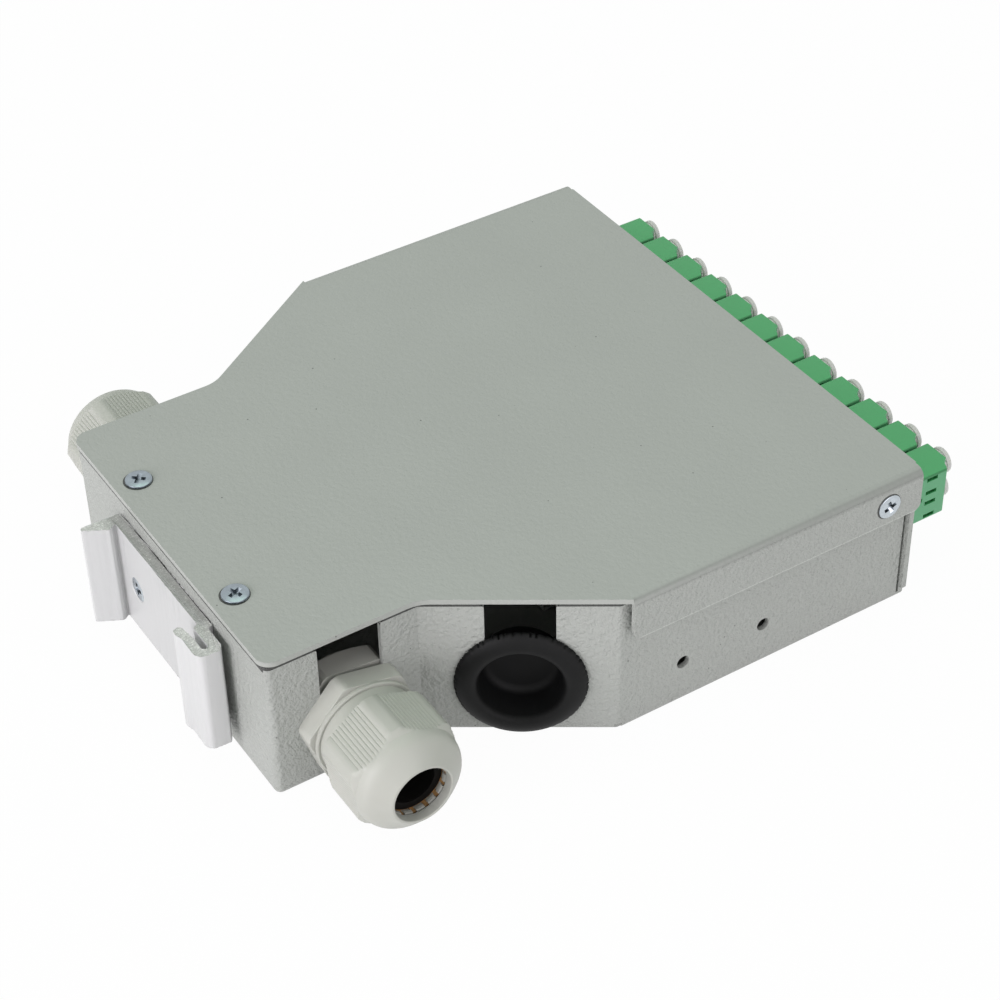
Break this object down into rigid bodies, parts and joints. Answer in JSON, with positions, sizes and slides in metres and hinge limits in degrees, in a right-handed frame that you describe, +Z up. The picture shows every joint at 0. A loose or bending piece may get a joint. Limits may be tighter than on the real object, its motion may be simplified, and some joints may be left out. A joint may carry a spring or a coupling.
{
  "type": "din rail fibre box",
  "caption": "Flat rail-mounted fibre box: folded tray and screwed cover, a rail clip, cable glands and plugs on the sides, duplex adapters with dust caps along the rear.",
  "frame": {"origin": "on the underside of the floor, on the centre line, midway between the clip's tip and the dust caps", "axes": "+X from the rail clip to the adapters, +Y to the far side, +Z up through the cover"},
  "size_m": [0.166, 0.1375, 0.0361],
  "materials": {
    "powder_coat": "fine orange-peel powder coat",
    "clip_metal": "smooth extrusion with sawn ends",
    "zinc_screw": "bright zinc",
    "gland_plastic": "moulded, satin",
    "seal_rubber": "soft moulded",
    "plug_rubber": "matt moulded",
    "adapter_plastic": "moulded, satin",
    "cap_plastic": "translucent moulded",
    "holder_plastic": "moulded, satin",
    "pad_foam": "soft adhesive foam"
  },
  "bodies": {
    "box": {"adapter_01": "adapter_plastic", "adapter_02": "adapter_plastic", "adapter_03": "adapter_plastic", "adapter_04": "adapter_plastic", "adapter_05": "adapter_plastic", "adapter_06": "adapter_plastic", "adapter_07": "adapter_plastic", "adapter_08": "adapter_plastic", "adapter_09": "adapter_plastic", "adapter_10": "adapter_plastic", "adapter_11": "adapter_plastic", "adapter_12": "adapter_plastic", "blanking_plug_far": "plug_rubber", "blanking_plug_near": "plug_rubber", "clip_screws": "zinc_screw", "cover": "powder_coat", "gland_body_far": "gland_plastic", "gland_body_near": "gland_plastic", "gland_seal_far": "seal_rubber", "gland_seal_near": "seal_rubber", "holder_pad": "pad_foam", "inner_dust_caps": "cap_plastic", "locknut_far": "gland_plastic", "locknut_near": "gland_plastic", "rail_clip": "clip_metal", "side_screws": "zinc_screw", "splice_holder": "holder_plastic", "top_screws": "zinc_screw", "tray": "powder_coat"},
    "dust_cap_01_high_body": {"dust_cap_01_high": "cap_plastic"},
    "dust_cap_01_low_body": {"dust_cap_01_low": "cap_plastic"},
    "dust_cap_02_high_body": {"dust_cap_02_high": "cap_plastic"},
    "dust_cap_02_low_body": {"dust_cap_02_low": "cap_plastic"},
    "dust_cap_03_high_body": {"dust_cap_03_high": "cap_plastic"},
    "dust_cap_03_low_body": {"dust_cap_03_low": "cap_plastic"},
    "dust_cap_04_high_body": {"dust_cap_04_high": "cap_plastic"},
    "dust_cap_04_low_body": {"dust_cap_04_low": "cap_plastic"},
    "dust_cap_05_high_body": {"dust_cap_05_high": "cap_plastic"},
    "dust_cap_05_low_body": {"dust_cap_05_low": "cap_plastic"},
    "dust_cap_06_high_body": {"dust_cap_06_high": "cap_plastic"},
    "dust_cap_06_low_body": {"dust_cap_06_low": "cap_plastic"},
    "dust_cap_07_high_body": {"dust_cap_07_high": "cap_plastic"},
    "dust_cap_07_low_body": {"dust_cap_07_low": "cap_plastic"},
    "dust_cap_08_high_body": {"dust_cap_08_high": "cap_plastic"},
    "dust_cap_08_low_body": {"dust_cap_08_low": "cap_plastic"},
    "dust_cap_09_high_body": {"dust_cap_09_high": "cap_plastic"},
    "dust_cap_09_low_body": {"dust_cap_09_low": "cap_plastic"},
    "dust_cap_10_high_body": {"dust_cap_10_high": "cap_plastic"},
    "dust_cap_10_low_body": {"dust_cap_10_low": "cap_plastic"},
    "dust_cap_11_high_body": {"dust_cap_11_high": "cap_plastic"},
    "dust_cap_11_low_body": {"dust_cap_11_low": "cap_plastic"},
    "dust_cap_12_high_body": {"dust_cap_12_high": "cap_plastic"},
    "dust_cap_12_low_body": {"dust_cap_12_low": "cap_plastic"},
    "dome_nut_far_body": {"dome_nut_far": "gland_plastic"},
    "dome_nut_near_body": {"dome_nut_near": "gland_plastic"}
  },
  "joints": [
    {"name": "turn_dome_nut_far", "type": "hinge", "parent": "box", "child": "dome_nut_far_body", "pos_m": [-0.05565, 0.0531, 0.0127], "axis": [0, 1, 0], "continuous": true},
    {"name": "turn_dome_nut_near", "type": "hinge", "parent": "box", "child": "dome_nut_near_body", "pos_m": [-0.05565, -0.0496, 0.0127], "axis": [0, -1, 0], "continuous": true},
    {"name": "pull_dust_cap_01_high", "type": "slide", "parent": "box", "child": "dust_cap_01_high_body", "axis": [1, 0, 0], "range_m": [0, 0.015]},
    {"name": "pull_dust_cap_01_low", "type": "slide", "parent": "box", "child": "dust_cap_01_low_body", "axis": [1, 0, 0], "range_m": [0, 0.015]},
    {"name": "pull_dust_cap_02_high", "type": "slide", "parent": "box", "child": "dust_cap_02_high_body", "axis": [1, 0, 0], "range_m": [0, 0.015]},
    {"name": "pull_dust_cap_02_low", "type": "slide", "parent": "box", "child": "dust_cap_02_low_body", "axis": [1, 0, 0], "range_m": [0, 0.015]},
    {"name": "pull_dust_cap_03_high", "type": "slide", "parent": "box", "child": "dust_cap_03_high_body", "axis": [1, 0, 0], "range_m": [0, 0.015]},
    {"name": "pull_dust_cap_03_low", "type": "slide", "parent": "box", "child": "dust_cap_03_low_body", "axis": [1, 0, 0], "range_m": [0, 0.015]},
    {"name": "pull_dust_cap_04_high", "type": "slide", "parent": "box", "child": "dust_cap_04_high_body", "axis": [1, 0, 0], "range_m": [0, 0.015]},
    {"name": "pull_dust_cap_04_low", "type": "slide", "parent": "box", "child": "dust_cap_04_low_body", "axis": [1, 0, 0], "range_m": [0, 0.015]},
    {"name": "pull_dust_cap_05_high", "type": "slide", "parent": "box", "child": "dust_cap_05_high_body", "axis": [1, 0, 0], "range_m": [0, 0.015]},
    {"name": "pull_dust_cap_05_low", "type": "slide", "parent": "box", "child": "dust_cap_05_low_body", "axis": [1, 0, 0], "range_m": [0, 0.015]},
    {"name": "pull_dust_cap_06_high", "type": "slide", "parent": "box", "child": "dust_cap_06_high_body", "axis": [1, 0, 0], "range_m": [0, 0.015]},
    {"name": "pull_dust_cap_06_low", "type": "slide", "parent": "box", "child": "dust_cap_06_low_body", "axis": [1, 0, 0], "range_m": [0, 0.015]},
    {"name": "pull_dust_cap_07_high", "type": "slide", "parent": "box", "child": "dust_cap_07_high_body", "axis": [1, 0, 0], "range_m": [0, 0.015]},
    {"name": "pull_dust_cap_07_low", "type": "slide", "parent": "box", "child": "dust_cap_07_low_body", "axis": [1, 0, 0], "range_m": [0, 0.015]},
    {"name": "pull_dust_cap_08_high", "type": "slide", "parent": "box", "child": "dust_cap_08_high_body", "axis": [1, 0, 0], "range_m": [0, 0.015]},
    {"name": "pull_dust_cap_08_low", "type": "slide", "parent": "box", "child": "dust_cap_08_low_body", "axis": [1, 0, 0], "range_m": [0, 0.015]},
    {"name": "pull_dust_cap_09_high", "type": "slide", "parent": "box", "child": "dust_cap_09_high_body", "axis": [1, 0, 0], "range_m": [0, 0.015]},
    {"name": "pull_dust_cap_09_low", "type": "slide", "parent": "box", "child": "dust_cap_09_low_body", "axis": [1, 0, 0], "range_m": [0, 0.015]},
    {"name": "pull_dust_cap_10_high", "type": "slide", "parent": "box", "child": "dust_cap_10_high_body", "axis": [1, 0, 0], "range_m": [0, 0.015]},
    {"name": "pull_dust_cap_10_low", "type": "slide", "parent": "box", "child": "dust_cap_10_low_body", "axis": [1, 0, 0], "range_m": [0, 0.015]},
    {"name": "pull_dust_cap_11_high", "type": "slide", "parent": "box", "child": "dust_cap_11_high_body", "axis": [1, 0, 0], "range_m": [0, 0.015]},
    {"name": "pull_dust_cap_11_low", "type": "slide", "parent": "box", "child": "dust_cap_11_low_body", "axis": [1, 0, 0], "range_m": [0, 0.015]},
    {"name": "pull_dust_cap_12_high", "type": "slide", "parent": "box", "child": "dust_cap_12_high_body", "axis": [1, 0, 0], "range_m": [0, 0.015]},
    {"name": "pull_dust_cap_12_low", "type": "slide", "parent": "box", "child": "dust_cap_12_low_body", "axis": [1, 0, 0], "range_m": [0, 0.015]}
  ]
}
